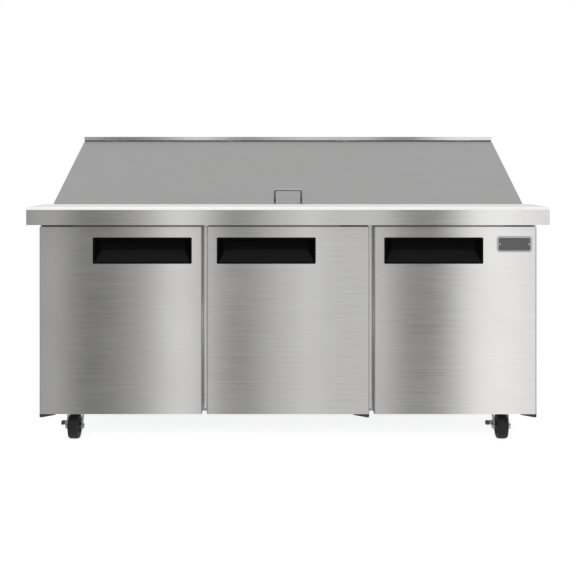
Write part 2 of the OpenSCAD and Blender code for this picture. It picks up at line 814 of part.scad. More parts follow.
shelf_standards();
compressor();
condenser();
condenser_fan();
evaporator();
evaporator_fan();
condensate_pan();
controller();
cord_gland();
caster_plates();
screws();
place_caster(-1, false) front_fork();  // caster_fork_front_left
place_caster(1, false) front_fork();  // caster_fork_front_right
place_caster(-1, true) fork();  // caster_fork_rear_left
place_caster(1, true) fork();  // caster_fork_rear_right
place_caster(-1, false) wheel_at_trail();  // caster_wheel_front_left
place_caster(1, false) wheel_at_trail();  // caster_wheel_front_right
place_caster(-1, true) wheel_at_trail();  // caster_wheel_rear_left
place_caster(1, true) wheel_at_trail();  // caster_wheel_rear_right
place_caster(-1, false) caster_brake();  // caster_brake_left
place_caster(1, false) caster_brake();  // caster_brake_right
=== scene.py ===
"""Looks of the three-door sandwich prep refrigerator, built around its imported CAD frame.

X is across, -Y is the front, Z is up, all in metres. Places come from the frame's boxes.
"""

import json
import math

import bmesh
import bpy
from mathutils import Matrix, Vector


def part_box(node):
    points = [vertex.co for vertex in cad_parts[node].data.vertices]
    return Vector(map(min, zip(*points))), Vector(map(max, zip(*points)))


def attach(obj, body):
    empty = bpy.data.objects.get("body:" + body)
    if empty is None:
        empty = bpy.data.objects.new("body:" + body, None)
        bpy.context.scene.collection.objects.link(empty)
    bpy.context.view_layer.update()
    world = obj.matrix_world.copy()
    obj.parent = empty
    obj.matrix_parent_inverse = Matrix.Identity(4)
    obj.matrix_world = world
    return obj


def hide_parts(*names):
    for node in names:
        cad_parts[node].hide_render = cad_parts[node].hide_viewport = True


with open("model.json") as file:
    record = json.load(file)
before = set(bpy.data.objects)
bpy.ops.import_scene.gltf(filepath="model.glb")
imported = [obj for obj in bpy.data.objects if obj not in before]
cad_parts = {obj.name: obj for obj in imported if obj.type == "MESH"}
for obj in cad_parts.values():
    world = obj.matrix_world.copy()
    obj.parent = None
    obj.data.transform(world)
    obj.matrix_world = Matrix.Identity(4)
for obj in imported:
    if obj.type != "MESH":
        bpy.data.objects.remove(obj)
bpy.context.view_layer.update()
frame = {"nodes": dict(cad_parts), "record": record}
NODES = frame["nodes"]
BODY_OF = {n: b for b, names in frame["record"]["behaviour"]["bodies"].items() for n in names}
SIDES = ("left", "middle", "right")
CORNERS = ("front_left", "front_right", "rear_left", "rear_right")


def mm(value):
    """A length given in millimetres, in metres."""
    return value / 1000


# ---------------------------------------------------------------- node helpers

class Nodes:
    """Short calls that add shader nodes to one tree."""

    def __init__(self, tree, coordinates="Object"):
        self.tree = tree
        tree.nodes.clear()
        self.coords = self.add("ShaderNodeTexCoord").outputs[coordinates]

    def add(self, kind):
        return self.tree.nodes.new(kind)

    def link(self, a, b):
        self.tree.links.new(a, b)

    def scaled(self, scale):
        """The coordinates times one scale, or times a scale for each axis."""
        node = self.add("ShaderNodeMapping")
        even = isinstance(scale, (int, float))
        node.inputs["Scale"].default_value = (scale,) * 3 if even else scale
        self.link(self.coords, node.inputs["Vector"])
        return node.outputs[0]

    def noise(self, scale, detail=3.0, rough=0.5, distortion=0.0):
        """Noise with its scale in cells a metre."""
        node = self.add("ShaderNodeTexNoise")
        node.inputs["Scale"].default_value = 1.0
        node.inputs["Detail"].default_value = detail
        node.inputs["Roughness"].default_value = rough
        node.inputs["Distortion"].default_value = distortion
        self.link(self.scaled(scale), node.inputs["Vector"])
        return node.outputs["Fac"]

    def cells(self, scale, feature="F1"):
        """Distance to the middle of the nearest cell, with the scale in cells a metre."""
        node = self.add("ShaderNodeTexVoronoi")
        node.feature = feature
        node.inputs["Scale"].default_value = 1.0
        self.link(self.scaled(scale), node.inputs["Vector"])
        return node.outputs["Distance"]

    def remap(self, value, low, high, to_low=0.0, to_high=1.0):
        node = self.add("ShaderNodeMapRange")
        for i, v in enumerate((low, high, to_low, to_high)):
            node.inputs[i + 1].default_value = v
        self.link(value, node.inputs[0])
        return node.outputs[0]

    def spread(self, value, to_low, to_high):
        """Takes the range that most of a noise lies in to the range between two values."""
        return self.remap(value, 0.3, 0.7, to_low, to_high)

    def split(self, vector):
        node = self.add("ShaderNodeSeparateXYZ")
        self.link(vector, node.inputs[0])
        return node.outputs

    def math(self, operation, a, b):
        node = self.add("ShaderNodeMath")
        node.operation = operation
        for i, v in enumerate((a, b)):
            if isinstance(v, (int, float)):
                node.inputs[i].default_value = v
            else:
                self.link(v, node.inputs[i])
        return node.outputs[0]

    def ramp(self, value, low, high, stops):
        """Grey levels at places between low and high, joined by straight lines."""
        node = self.add("ShaderNodeValToRGB")
        self.link(self.remap(value, low, high), node.inputs[0])
        elements = node.color_ramp.elements
        elements.remove(elements[-1])
        for i, (place, level) in enumerate(stops):
            share = (place - low) / (high - low)
            element = elements[0] if i == 0 else elements.new(share)
            element.position = share
            element.color = (level, level, level, 1.0)
        return node.outputs[0]

    def blend(self, factor, colour_a, colour_b):
        node = self.add("ShaderNodeMix")
        node.data_type = "RGBA"
        self.link(factor, node.inputs["Factor"])
        for socket, colour in ((node.inputs[6], colour_a), (node.inputs[7], colour_b)):
            if isinstance(colour, tuple):
                socket.default_value = (*colour, 1.0)
            else:
                self.link(colour, socket)
        return node.outputs[2]


class Shader(Nodes):
    """A material with one Principled shader."""

    def __init__(self, name, **values):
        self.material = bpy.data.materials.new(name)
        self.material.use_nodes = True
        super().__init__(self.material.node_tree)
        self.bsdf = self.add("ShaderNodeBsdfPrincipled")
        self.link(self.bsdf.outputs[0], self.add("ShaderNodeOutputMaterial").inputs[0])
        for key, value in values.items():
            self.bsdf.inputs[key.replace("_", " ")].default_value = value

    def colour(self, value):
        self.link(value, self.bsdf.inputs["Base Color"])

    def roughness(self, value):
        self.link(value, self.bsdf.inputs["Roughness"])

    def bump(self, height, strength, distance):
        node = self.add("ShaderNodeBump")
        node.inputs["Strength"].default_value = strength
        node.inputs["Distance"].default_value = distance
        self.link(height, node.inputs["Height"])
        self.link(node.outputs[0], self.bsdf.inputs["Normal"])

    def edge_wear(self):
        """High along convex edges, from the mesh's own shape."""
        flat, sharp = 0.52, 0.60
        pointiness = self.add("ShaderNodeNewGeometry").outputs["Pointiness"]
        return self.remap(pointiness, flat, sharp)

    def upward(self):
        """How far the surface faces up, from -1 to 1."""
        return self.split(self.add("ShaderNodeNewGeometry").outputs["Normal"])["Z"]


# ---------------------------------------------------------------- materials

def brushed_steel(name, tone, grain="X", rough=0.20, anisotropic=0.95):
    """Stainless sheet brushed along one axis, with faint smears and handling marks."""
    # (cells a metre along the grain, cells a metre across it)
    fine, broad = (2.6, 1900.0), (9.0, 320.0)
    streak = 0.08
    # The side panels' grain runs along Y, a quarter turn from their tangent
    tangent_axis, turn = {"X": ("X", 0.0), "Y": ("Z", 0.25)}[grain]

    def scale(layer):
        along, across = layer
        return (along, across, across) if grain == "X" else (across, along, across)

    s = Shader(name, Metallic=1.0, Anisotropic=anisotropic, Anisotropic_Rotation=turn)
    tangent = s.add("ShaderNodeTangent")
    tangent.direction_type = "RADIAL"
    tangent.axis = tangent_axis
    s.link(tangent.outputs[0], s.bsdf.inputs["Tangent"])
    lines = s.noise(scale(fine), detail=2.0)
    wide = s.noise(scale(broad), detail=3.0, rough=0.65)
    smears = s.noise((2.6, 2.6, 3.4), detail=4.0, rough=0.6, distortion=0.4)
    grain_mix = s.math("ADD", s.math("MULTIPLY", lines, 0.45), s.math("MULTIPLY", wide, 0.55))
    dark = tuple(c * (1 - streak) for c in tone)
    light = tuple(min(1.0, c * (1 + streak)) for c in tone)
    base = s.blend(s.spread(grain_mix, 0.0, 1.0), dark, light)
    warm = tuple(c * w for c, w in zip(tone, (1.0, 0.985, 0.965)))
    s.colour(s.blend(s.remap(smears, 0.45, 0.75, 0.0, 0.35), base, warm))
    rough_lines = s.spread(grain_mix, rough - 0.03, rough + 0.04)
    rough_smears = s.remap(smears, 0.4, 0.8, -0.01, 0.04)
    s.roughness(s.math("ADD", rough_lines, rough_smears))
    s.bump(grain_mix, 0.04, 0.0001)
    return s.material


def galvanised():
    """Galvanised sheet with a faint spangle."""
    s = Shader("galvanised", Metallic=1.0)
    spangle = s.cells(70.0)
    cloud = s.noise(6.0)
    s.colour(s.blend(s.remap(spangle, 0.1, 0.8), (0.47, 0.48, 0.49), (0.57, 0.58, 0.59)))
    s.roughness(s.math("ADD", s.remap(spangle, 0.0, 0.8, 0.30, 0.40), s.spread(cloud, 0.0, 0.12)))
    s.bump(spangle, 0.04, 0.0003)
    return s.material


def zinc():
    """Zinc plated steel with cloudy tone and a fine grain."""
    s = Shader("zinc_plate", Metallic=1.0)
    cloud = s.noise(60.0)
    fine = s.noise(900.0, detail=1.0)
    s.colour(s.blend(cloud, (0.46, 0.47, 0.48), (0.68, 0.68, 0.67)))
    s.roughness(s.spread(cloud, 0.24, 0.40))
    s.bump(fine, 0.15, 0.0002)
    return s.material


def polished():
    """Dark chrome rod with a painted highlight, near white where its surface faces up."""
    s = Shader("polished_rod", Metallic=1.0)
    scuffs = s.noise((40.0, 160.0, 160.0), detail=4.0)
    dark = s.blend(scuffs, (0.15, 0.152, 0.156), (0.23, 0.232, 0.235))
    # Painted highlight: faces that point up are blended to near white, standing in for the light
    # the bar's top catches.
    s.colour(s.blend(s.remap(s.upward(), 0.05, 0.55), dark, (0.98, 0.98, 0.98)))
    s.roughness(s.spread(scuffs, 0.12, 0.24))
    s.bump(scuffs, 0.05, 0.0001)
    return s.material


def pressed_pan():
    """Pressed steel with faint draw marks down its walls."""
    s = Shader("pressed_pan", Metallic=1.0)
    draw = s.noise((30.0, 30.0, 400.0), detail=3.0)
    cloud = s.noise(9.0)
    s.colour(s.blend(draw, (0.58, 0.585, 0.59), (0.74, 0.74, 0.745)))
    s.roughness(s.math("ADD", s.spread(draw, 0.20, 0.30), s.spread(cloud, 0.0, 0.08)))
    s.bump(draw, 0.06, 0.0002)
    return s.material


def stucco_aluminium():
    """Aluminium sheet embossed with small pebbles."""
    s = Shader("stucco_aluminium", Metallic=1.0)
    pebble = s.cells(260.0, feature="SMOOTH_F1")
    cloud = s.noise(5.0)
    s.colour(s.blend(cloud, (0.62, 0.63, 0.64), (0.74, 0.75, 0.76)))
    s.roughness(s.remap(pebble, 0.1, 0.7, 0.30, 0.46))
    s.bump(pebble, 0.35, 0.0005)
    return s.material


def moulded(name, dark, light, rough, bump=0.12, dust_and_painted_light=0.0, **values):
    """Moulded plastic with a fine grain, faint flow clouds and paler edges, and if asked a painted
    highlight on faces that point up.
    """
    s = Shader(name, **values)
    cloud = s.noise(14.0, detail=4.0)
    fine = s.noise(1500.0, detail=2.0)
    worn = tuple(min(1.0, c * 1.5 + 0.015) for c in light)
    base = s.blend(s.edge_wear(), s.blend(cloud, dark, light), worn)
    # Painted highlight: faces that point up are blended towards a paler grey, as if they caught
    # the light.
    if dust_and_painted_light:
        base = s.blend(s.remap(s.upward(), 0.2, 0.8), base, (dust_and_painted_light, dust_and_painted_light, dust_and_painted_light))
    s.colour(base)
    s.roughness(s.math("ADD", s.spread(fine, rough - 0.05, rough + 0.05),
                       s.spread(cloud, -0.03, 0.04)))
    s.bump(fine, bump, 0.0003)
    return s.material


def board():
    """Polyethylene cutting board: satin white with a fine pebble and faint knife marks."""
    s = Shader("board_white", Subsurface_Weight=0.08, Subsurface_Scale=0.004)
    cloud = s.noise(7.0, detail=4.0)
    pebble = s.noise(1300.0, detail=1.0)
    cuts = s.noise((9.0, 700.0, 60.0), detail=1.0, distortion=1.2)
    marks = s.remap(cuts, 0.66, 0.72)
    base = s.blend(cloud, (0.86, 0.86, 0.845), (0.92, 0.92, 0.91))
    s.colour(s.blend(s.math("MULTIPLY", marks, 0.25), base, (0.78, 0.78, 0.76)))
    s.roughness(s.spread(pebble, 0.38, 0.52))
    height = s.math("SUBTRACT", s.math("MULTIPLY", pebble, 0.5), s.math("MULTIPLY", marks, 0.6))
    s.bump(height, 0.12, 0.0004)
    return s.material


def powder_coat(name, tone):
    """Powder coat with a slight orange peel, worn paler along its edges."""
    s = Shader(name, Coat_Weight=0.15, Coat_Roughness=0.3)
    peel = s.noise(420.0, detail=2.0)
    cloud = s.noise(11.0)
    light = tuple(c * 1.6 + 0.004 for c in tone)
    worn = tuple(c * 3.0 + 0.05 for c in tone)
    s.colour(s.blend(s.math("MULTIPLY", s.edge_wear(), 0.6), s.blend(cloud, tone, light), worn))
    s.roughness(s.spread(peel, 0.36, 0.52))
    s.bump(peel, 0.25, 0.0004)
    return s.material


def foam():
    """Yellow rigid foam with open pores."""
    s = Shader("foam")
    pores = s.cells(420.0)
    cloud = s.noise(8.0)
    s.colour(s.blend(cloud, (0.62, 0.52, 0.26), (0.78, 0.70, 0.42)))
    s.roughness(s.remap(pores, 0.0, 0.8, 0.8, 0.95))
    s.bump(pores, 0.5, 0.001)
    return s.material


def tread_rubber():
    """Black tyre rubber with floor dust on it."""
    s = Shader("tread_rubber", Sheen_Weight=0.05)
    dust_and_painted_light = s.noise(55.0, detail=5.0, rough=0.65)
    fine = s.noise(1200.0, detail=1.0)
    dusty = s.remap(dust_and_painted_light, 0.45, 0.8, 0.0, 0.6)
    s.colour(s.blend(dusty, (0.008, 0.008, 0.009), (0.034, 0.033, 0.031)))
    s.roughness(s.spread(dust_and_painted_light, 0.48, 0.70))
    s.bump(fine, 0.2, 0.0003)
    return s.material


def nameplate():
    """Satin plate brushed from side to side."""
    s = Shader("nameplate_metal", Metallic=1.0)
    lines = s.noise((12.0, 1800.0, 1800.0), detail=2.0)
    s.colour(s.blend(lines, (0.50, 0.505, 0.51), (0.62, 0.625, 0.63)))
    s.roughness(s.spread(lines, 0.28, 0.42))
    s.bump(lines, 0.1, 0.0002)
    return s.material


DOOR_TONE = (0.67, 0.665, 0.65)
PANEL_TONE = (0.69, 0.685, 0.675)
MATERIALS = {
    "stainless_panel": brushed_steel("stainless_panel", PANEL_TONE),
    "stainless_door": brushed_steel("stainless_door", DOOR_TONE),
    "stainless_lid": brushed_steel("stainless_lid", PANEL_TONE, rough=0.34),
    "stainless_side": brushed_steel("stainless_side", PANEL_TONE, grain="Y"),
    "stainless_pan": pressed_pan(),
    "zinc_steel": zinc(),
    "galvanised_sheet": galvanised(),
    "polished_rod": polished(),
    "hinge_dark": powder_coat("hinge_dark", (0.055, 0.055, 0.056)),
    "liner_aluminium": stucco_aluminium(),
    "inner_white": moulded("inner_white", (0.74, 0.74, 0.73), (0.84, 0.84, 0.83), 0.32, bump=0.05),
    "board_white": board(),
    "foam": foam(),
    # The pull's upward faces get a painted highlight, so the lower slope of its pocket reads lit.
    "handle_black": moulded("handle_black", (0.0016, 0.0016, 0.0016), (0.0026, 0.0026, 0.0026),
                            0.5, dust_and_painted_light=0.016, Specular_IOR_Level=0.05),
    "gasket_grey": moulded("gasket_grey", (0.030, 0.030, 0.032), (0.055, 0.055, 0.058), 0.6),
    "bracket_black": powder_coat("bracket_black", (0.012, 0.012, 0.013)),
    "nameplate_metal": nameplate(),
    "plate_enamel": powder_coat("plate_enamel", (0.055, 0.058, 0.062)),
    "shelf_coat": moulded("shelf_coat", (0.70, 0.72, 0.72), (0.82, 0.83, 0.83), 0.25, bump=0.04,
                          Coat_Weight=0.4, Coat_Roughness=0.15),
    "compressor_black": powder_coat("compressor_black", (0.010, 0.010, 0.011)),
    "coil_metal": brushed_steel("coil_metal", (0.55, 0.56, 0.57), rough=0.42, anisotropic=0.2),
    "fan_plastic": moulded("fan_plastic", (0.03, 0.03, 0.032), (0.06, 0.06, 0.062), 0.38),
    "control_grey": powder_coat("control_grey", (0.16, 0.165, 0.17)),
    "gland_black": moulded("gland_black", (0.012, 0.012, 0.012), (0.022, 0.022, 0.022), 0.28),
    "wheel_rubber": tread_rubber(),
    "brake_black": powder_coat("brake_black", (0.014, 0.014, 0.015)),
}
SLOT_OF = {s["node"]: s["material_slot"] for s in frame["record"]["subparts"]}


def paint(obj, material):
    obj.data.materials.clear()
    obj.data.materials.append(MATERIALS[material])


# ---------------------------------------------------------------- mesh helpers

def piece(name, bm, node_or_body, slot, material=None, smooth=35.0):
    """Makes a named piece from a bmesh, riding on a body or on the body of a node."""
    mesh = bpy.data.meshes.new(name)
    bmesh.ops.recalc_face_normals(bm, faces=bm.faces)
    bm.to_mesh(mesh)
    bm.free()
    obj = bpy.data.objects.new(name, mesh)
    bpy.context.scene.collection.objects.link(obj)
    for face in mesh.polygons:
        face.use_smooth = True
    mesh.set_sharp_from_angle(angle=math.radians(smooth))
    paint(obj, material or slot)
    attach(obj, BODY_OF.get(node_or_body, node_or_body))
    return obj


def bevel(obj, width, segments=3):
    """Rounds the edges that turn by more than 35 degrees."""
    mod = obj.modifiers.new("soft_edges", "BEVEL")
    mod.width = width
    mod.segments = segments
    mod.limit_method = "ANGLE"
    mod.angle_limit = math.radians(35.0)


def thicken(obj, thickness):
    """Gives a surface the thickness of its sheet."""
    mod = obj.modifiers.new("sheet", "SOLIDIFY")
    mod.thickness = thickness


def add_box(bm, lo, hi):
    """Adds a box between two corners and returns its vertices."""
    size = [b - a for a, b in zip(lo, hi)]
    centre = [(a + b) / 2 for a, b in zip(lo, hi)]
    matrix = Matrix.Translation(centre) @ Matrix.Diagonal((*size, 1.0))
    return bmesh.ops.create_cube(bm, size=1.0, matrix=matrix)["verts"]


def rounded_rect(half_w, half_h, radius):
    """Points of a rounded rectangle about the origin, anticlockwise."""
    steps = 6
    points = []
    radius = min(radius, half_w, half_h)
    for k, (sx, sy) in enumerate(((1, 1), (-1, 1), (-1, -1), (1, -1))):
        for i in range(steps + 1):
            a = math.pi / 2 * (k + i / steps)
            points.append((sx * (half_w - radius) + radius * math.cos(a),
                           sy * (half_h - radius) + radius * math.sin(a)))
    return points


def loft(bm, rings, closed=False, cap_start=False, cap_end=False):
    """Skins rings of 3-D points that all have the same count."""
    made = [[bm.verts.new(p) for p in ring] for ring in rings]
    pairs = list(zip(made, made[1:]))
    if closed:
        pairs.append((made[-1], made[0]))
    for a, b in pairs:
        for i in range(len(a)):
            j = (i + 1) % len(a)
            bm.faces.new((a[i], a[j], b[j], b[i]))
    if cap_start:
        bm.faces.new(made[0])
    if cap_end:
        bm.faces.new(made[-1])


def revolve(bm, profile, centre, steps):
    """Turns a closed profile of (radius, X) points about the X axis through centre."""
    turn = Matrix.Rotation(math.pi / 2, 3, "Y")
    rings = []
    for r, h in profile:
        ring = []
        for i in range(steps):
            a = 2 * math.pi * i / steps
            ring.append(Vector(centre) + turn @ Vector((r * math.cos(a), r * math.sin(a), h)))
        rings.append(ring)
    loft(bm, rings, closed=True)


# ---------------------------------------------------------------- CAD nodes kept as they are

# Width of the soft edge on each node that has one
SOFT_EDGES = {
    "counter_shelf": 0.0012, "cutting_board": 0.0012, "hood_cap": 0.0012, "rear_hood": 0.0010,
    "lid_skin": 0.0014, "side_panels": 0.0006, "back_panel": 0.0005, "top_deck": 0.0005,
    "front_frame": 0.0012, "name_plate": 0.0004, "door_hinge_brackets": 0.0012,
    "base_pan": 0.0006, "controller": 0.0020, "condenser": 0.0010, "evaporator": 0.0010,
    "adapter_bars": 0.0012, "shelf_standards": 0.0005, "condensate_pan": 0.0006,
}
for name, node in NODES.items():
    paint(node, "stainless_side" if name == "side_panels" else SLOT_OF[name])
    for face in node.data.polygons:
        face.use_smooth = True
    node.data.set_sharp_from_angle(angle=math.radians(30))
    if name in SOFT_EDGES:
        bevel(node, SOFT_EDGES[name])
for side in SIDES:
    bevel(NODES["door_skin_" + side], 0.0008, segments=2)
    bevel(NODES["door_liner_" + side], 0.0050, segments=4)
for corner in CORNERS:
    bevel(NODES["caster_fork_" + corner], 0.0007, segments=2)
for side in ("left", "right"):
    bevel(NODES["caster_brake_" + side], 0.0006, segments=2)


# ---------------------------------------------------------------- door handles

def door_pull(side):
    """Black recessed pull: rounded bezel, tapered pocket that slopes out at the bottom."""
    lo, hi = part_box("door_handle_" + side)
    face_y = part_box("door_skin_" + side)[0].y
    cx, cz = (lo.x + hi.x) / 2, (lo.z + hi.z) / 2
    half_w, half_h = (hi.x - lo.x) / 2, (hi.z - lo.z) / 2
    front_y = lo.y
    back_y = hi.y - 0.0005
    bezel_r, lip_r, pocket_r = 0.004, 0.005, 0.006
    # How far the pocket's bottom slopes up towards its back
    ramp = 0.036

    def ring(y, inset, radius, raise_bottom=0.0, taper=0.0, drop_top=0.0):
        """One outline of the pull at a depth."""
        w = half_w - inset - taper
        top = half_h - inset - drop_top
        bottom = -half_h + inset + raise_bottom
        points = rounded_rect(w, (top - bottom) / 2, radius)
        return [(cx + x, y, cz + (top + bottom) / 2 + z) for x, z in points]

    rings = [
        # Bezel, proud of the door
        ring(face_y + 0.0010, 0.0, bezel_r), ring(front_y + 0.0005, 0.0, bezel_r),
        ring(front_y + 0.0001, 0.0004, bezel_r), ring(front_y, 0.0010, bezel_r),
        # Lip that rolls into the pocket
        ring(front_y, 0.0060, lip_r), ring(front_y + 0.0006, 0.0074, lip_r),
        ring(front_y + 0.0024, 0.0084, lip_r), ring(front_y + 0.0055, 0.0092, lip_r),
        # Walls and back of the pocket
        ring(back_y - 0.0040, 0.0095, pocket_r, ramp - 0.004, 0.014, 0.001),
        ring(back_y - 0.0010, 0.0105, pocket_r, ramp, 0.016, 0.002),
        ring(back_y, 0.0135, pocket_r, ramp, 0.018, 0.003),
    ]
    bm = bmesh.new()
    loft(bm, rings, cap_end=True)
    obj = piece("door_pull_" + side, bm, "door_handle_" + side, "handle_black", smooth=40)
    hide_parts("door_handle_" + side)


def plate_field():
    """Blank dark enamel field of the plate on the right door, inside its bright rim."""
    lo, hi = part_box("name_plate")
    cx, cz = (lo.x + hi.x) / 2, (lo.z + hi.z) / 2
    # The plate's rivets stand 0.6 mm out, so its face lies that far behind its box
    rivet_t = 0.0006
    face_y = lo.y + rivet_t
    rim = corner_r = 0.006
    rings = []
    for y, inset in ((face_y + 0.0002, 0.0), (face_y - 0.0001, 0.0), (face_y - 0.0002, 0.0003)):
        half_w = (hi.x - lo.x) / 2 - rim - inset
        half_h = (hi.z - lo.z) / 2 - rim - inset
        points = rounded_rect(half_w, half_h, corner_r)
        rings.append([(cx + x, y, cz + z) for x, z in points])
    bm = bmesh.new()
    loft(bm, rings, cap_start=True, cap_end=True)
    piece("plate_field", bm, "name_plate", "nameplate_metal", "plate_enamel")


# ---------------------------------------------------------------- door seals

def door_seal(side):
    """Bellows gasket with its magnet strip, mitred round the door."""
    lo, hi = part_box("door_gasket_" + side)
    cx, cz = (lo.x + hi.x) / 2, (lo.z + hi.z) / 2
    half_w, half_h = (hi.x - lo.x) / 2, (hi.z - lo.z) / 2
    depth = hi.y - lo.y
    corner_r = 0.004
    # (distance in from the outer edge in mm, share of the depth)
    section = [(3.0, 0.0), (1.4, 0.08), (0.3, 0.22), (1.6, 0.36), (2.6, 0.46), (1.2, 0.58),
               (0.2, 0.74), (0.8, 0.92), (2.2, 1.0), (9.6, 1.0), (11.4, 0.9), (12.2, 0.72),
               (11.0, 0.56), (9.4, 0.46), (10.8, 0.34), (12.8, 0.2), (12.2, 0.06), (10.0, 0.0)]
    rings = []
    for inset, share in section:
        points = rounded_rect(half_w - mm(inset), half_h - mm(inset), corner_r)
        rings.append([(cx + x, lo.y + depth * share, cz + z) for x, z in points])
    bm = bmesh.new()
    loft(bm, rings, closed=True)
    obj = piece("door_seal_" + side, bm, "door_gasket_" + side, "gasket_grey", smooth=60)
    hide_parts("door_gasket_" + side)


# ---------------------------------------------------------------- food pans

def pressed_pans(node, columns, rows, rim_gap):
    """Food pans with rolled rims, tapered walls and filleted floors, in place of a CAD node."""
    lo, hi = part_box(node)
    row_gap = 0.001
    rim_top = 2.0
    pitch_x = (hi.x - lo.x + rim_gap) / columns
    pitch_y = (hi.y - lo.y + row_gap) / rows
    half_w, half_d = (pitch_x - rim_gap) / 2, (pitch_y - row_gap) / 2
    bm = bmesh.new()
    # (inset, height above the rim's underside, corner radius), all in mm
    section = [(2.0, -0.2, 9), (0.6, 0.2, 9), (0.0, 0.9, 9), (0.6, 1.7, 9), (2.0, 2.0, 9),
               (7.0, 2.0, 11), (8.8, 1.4, 12), (10.0, 0.0, 13), (10.6, -4.0, 14),
               (14.5, -84.0, 16), (17.0, -93.0, 17), (22.0, -97.0, 17), (28.0, -97.6, 16)]
    for i in range(columns):
        for j in range(rows):
            cx = lo.x + pitch_x * (i + 0.5) - rim_gap / 2
            cy = lo.y + pitch_y * (j + 0.5) - row_gap / 2
            rings = []
            for inset, height, radius in section:
                z = hi.z + mm(height - rim_top)
                points = rounded_rect(half_w - mm(inset), half_d - mm(inset), mm(radius))
                rings.append([(cx + x, cy + y, z) for x, y in points])
            loft(bm, rings, cap_end=True)
    obj = piece(node + "_pressed", bm, node, "stainless_pan", smooth=50)
    thicken(obj, 0.0007)
    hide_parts(node)


# ---------------------------------------------------------------- casters

def caster_wheel(corner):
    """Soft tread on a ribbed hub, whose bosses stand out on both sides."""
    node = "caster_wheel_" + corner
    lo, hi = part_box(node)
    centre = (lo + hi) / 2
    boss = (hi.x - lo.x) / 2
    boss_out = 0.006
    r, h = (hi.z - lo.z) / 2, boss - boss_out
    bm = bmesh.new()
    tread = [(0.66 * r, -0.92 * h), (0.84 * r, -h), (0.93 * r, -0.97 * h), (0.975 * r, -0.80 * h),
             (0.995 * r, -0.55 * h), (r, -0.25 * h), (r, 0.25 * h), (0.995 * r, 0.55 * h),
             (0.975 * r, 0.80 * h), (0.93 * r, 0.97 * h), (0.84 * r, h), (0.66 * r, 0.92 * h)]
    revolve(bm, tread, centre, 96)
    obj = piece("tread_" + corner, bm, node, "wheel_rubber", smooth=50)
    bm = bmesh.new()
    hub = [(0.115 * r, -boss), (0.19 * r, -boss), (0.25 * r, -0.98 * h), (0.31 * r, -0.60 * h),
           (0.58 * r, -0.58 * h), (0.62 * r, -0.94 * h), (0.655 * r, -0.94 * h),
           (0.655 * r, 0.94 * h), (0.62 * r, 0.94 * h), (0.58 * r, 0.58 * h),
           (0.31 * r, 0.60 * h), (0.25 * r, 0.98 * h), (0.19 * r, boss), (0.115 * r, boss)]
    revolve(bm, hub, centre, 64)
    ribs, rib_half_t = 8, 0.0012
    for k in range(ribs):
        turn = Matrix.Translation(centre) @ Matrix.Rotation(k * 2 * math.pi / ribs, 4, "X")
        for side in (-1, 1):
            x0, x1 = sorted((side * 0.56 * h, side * 0.86 * h))
            verts = add_box(bm, (x0, -rib_half_t, 0.28 * r), (x1, rib_half_t, 0.61 * r))
            bmesh.ops.transform(bm, matrix=turn, verts=verts)
    hub_obj = piece("hub_" + corner, bm, node, "wheel_rubber", "gland_black", smooth=35)
    bevel(hub_obj, 0.0004, segments=2)
    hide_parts(node)
    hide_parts(node)


# ---------------------------------------------------------------- rear grille louvres

def louvres():
    """Pressed hoods over the slots of the rear grille, standing inwards."""
    lo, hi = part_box("rear_grille")
    bm = bmesh.new()
    slot_w, slot_h = 0.220, 0.008
    first_row, row_pitch, rows = 0.050, 0.020, 10
    overlap = 0.001
    half = slot_w / 2 + overlap
    for bank in (-0.480, -0.160, 0.160, 0.480):
        for row in range(rows):
            z = lo.z + first_row + row * row_pitch
            section = [(lo.y, z + slot_h + overlap), (lo.y - 0.004, z + slot_h - 0.001),
                       (lo.y - 0.007, z + slot_h - 0.005), (lo.y - 0.0078, z)]
            left = [bm.verts.new((bank - half, y, z0)) for y, z0 in section]
            right = [bm.verts.new((bank + half, y, z0)) for y, z0 in section]
            for i in range(len(section) - 1):
                bm.faces.new((left[i], left[i + 1], right[i + 1], right[i]))
    thicken(piece("grille_louvres", bm, "rear_grille", "galvanised_sheet", smooth=60), 0.0006)


# ---------------------------------------------------------------- dark strip of painted shade on the rear hood

def painted_shade_strip():
    """Dark strip on the hood's front, painted shade for the shadowed gap above the lid."""
    (lo, hi), cap_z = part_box("rear_hood"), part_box("hood_cap")[0].z
    end_gap, thick, height, cap_gap = 0.002, 0.0010, 0.016, 0.0002
    bm = bmesh.new()
    # Painted shade: a dark strip where the gap under the hood's front lies in shadow.
    add_box(bm, (lo.x + end_gap, lo.y - thick, cap_z - height),
            (hi.x - end_gap, lo.y, cap_z - cap_gap))
    bevel(piece("hood_shade_strip", bm, "rear_hood", "gasket_grey"), 0.0003)


painted_shade_strip()
plate_field()
for side in SIDES:
    door_pull(side)
    door_seal(side)
pressed_pans("food_pans_third", 5, 2, 0.007)
pressed_pans("food_pans_sixth", 10, 1, 0.0035)
for corner in CORNERS:
    caster_wheel(corner)
louvres()


# ---------------------------------------------------------------- studio

CAMERA_Y = -3.8325
CAMERA_Z = 1.009


def rectangle(name, points, material):
    """A single face through four points."""
    mesh = bpy.data.meshes.new(name)
    mesh.from_pydata(points, [], [(0, 1, 2, 3)])
    obj = bpy.data.objects.new(name, mesh)
    bpy.context.scene.collection.objects.link(obj)
    mesh.materials.append(material)
    return obj


